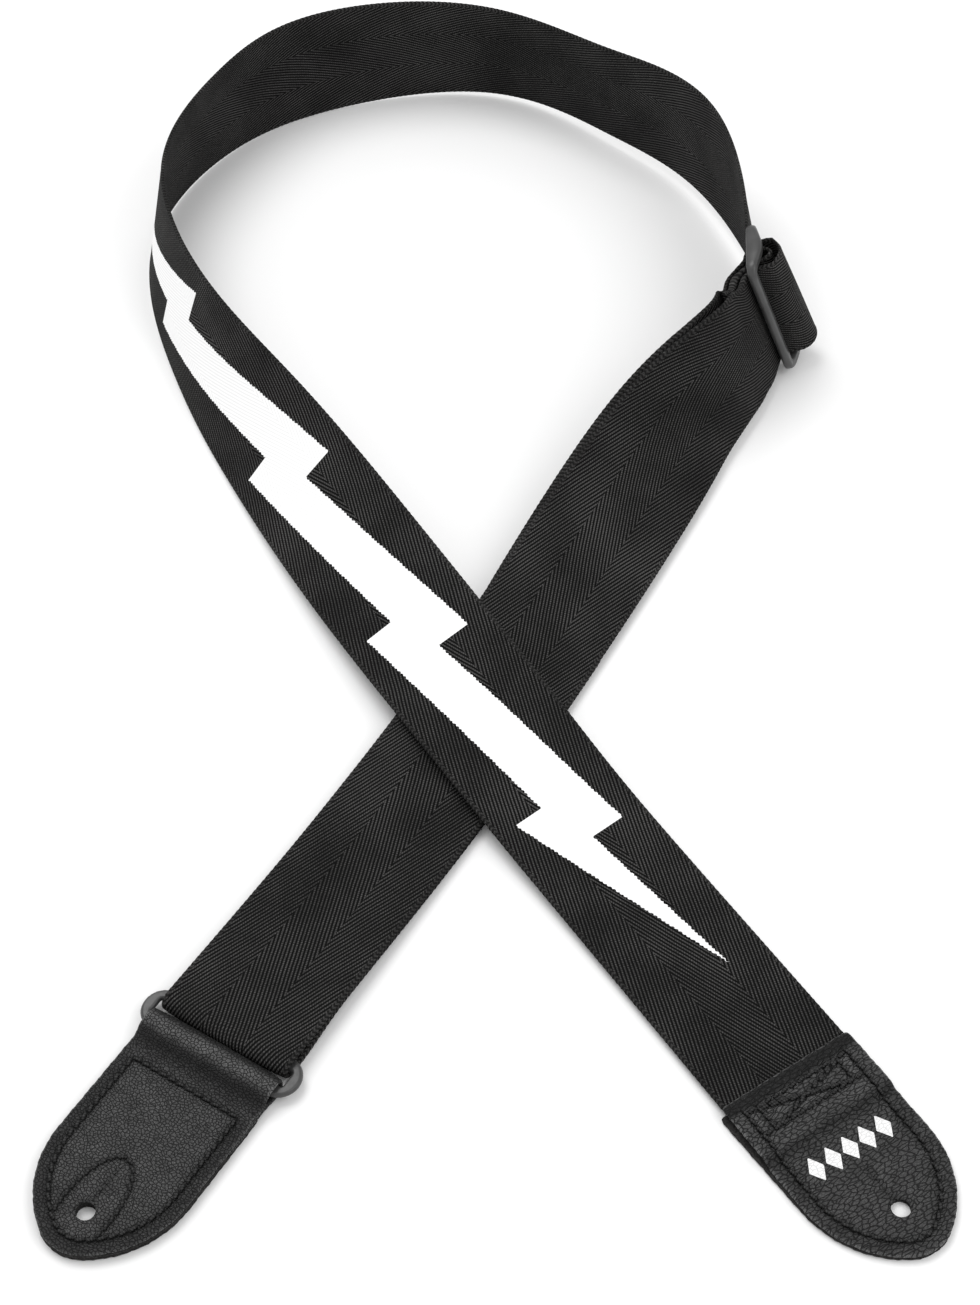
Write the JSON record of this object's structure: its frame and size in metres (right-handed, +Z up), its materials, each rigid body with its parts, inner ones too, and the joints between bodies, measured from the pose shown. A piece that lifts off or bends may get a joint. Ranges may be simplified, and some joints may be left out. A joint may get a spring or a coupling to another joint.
{
  "type": "guitar strap",
  "caption": "Adjustable guitar strap of flat twill webbing, lying in a crossed loop, with a leather button tab at each end, a slider and a ring.",
  "frame": {"origin": "middle of the strap's footprint, on the surface that it lies on", "axes": "+Z up from the surface; +Y from the two tabs towards the top of the loop; +X to the sewn tab's side"},
  "size_m": [0.2826, 0.5609, 0.0586],
  "materials": {
    "webbing": "matte herringbone twill",
    "leather": "satin pebbled grain",
    "thread": "matte",
    "plastic": "satin"
  },
  "bodies": {
    "strap": {"webbing_tab_flex": "webbing", "webbing_front_leg": "webbing", "webbing_arc": "webbing", "webbing_back_leg": "webbing"},
    "slider": {"slider": "plastic", "slider_seam_thread": "thread", "webbing_at_slider": "webbing", "webbing_sewn_end": "webbing"},
    "ring": {"ring": "plastic"},
    "hanging_tab": {"hanging_tab_front_leather": "leather", "hanging_tab_core": "leather", "hanging_tab_back_leather": "leather", "hanging_tab_border_thread": "thread", "hanging_tab_seam_thread": "thread", "hanging_tab_eye_thread": "thread"},
    "sewn_tab": {"webbing_tab_end": "webbing", "sewn_tab_front_leather": "leather", "sewn_tab_back_leather": "leather", "sewn_tab_border_thread": "thread", "sewn_tab_box_thread": "thread"}
  },
  "joints": [
    {"name": "slider_travel", "type": "slide", "parent": "strap", "child": "slider", "axis": [-0.0501, -0.9973, -0.0544], "range_m": [-0.012, 0.012], "deforming": ["webbing_at_slider", "webbing_sewn_end"]},
    {"name": "ring_swing", "type": "hinge", "parent": "strap", "child": "ring", "pos_m": [-0.0836, -0.2029, 0.00385], "axis": [-0.8456, 0.5339, 0], "range_deg": [-75, 75]},
    {"name": "hanging_tab_swing", "type": "hinge", "parent": "ring", "child": "hanging_tab", "pos_m": [-0.08921, -0.21178, 0.00385], "axis": [-0.8456, 0.5339, 0], "range_deg": [-100, 100]},
    {"name": "sewn_tab_flex", "type": "hinge", "parent": "strap", "child": "sewn_tab", "pos_m": [0.0913, -0.2169, 0.0022], "axis": [-0.8293, -0.5587, 0], "range_deg": [-60, 60], "deforming": ["webbing_tab_flex"]}
  ]
}
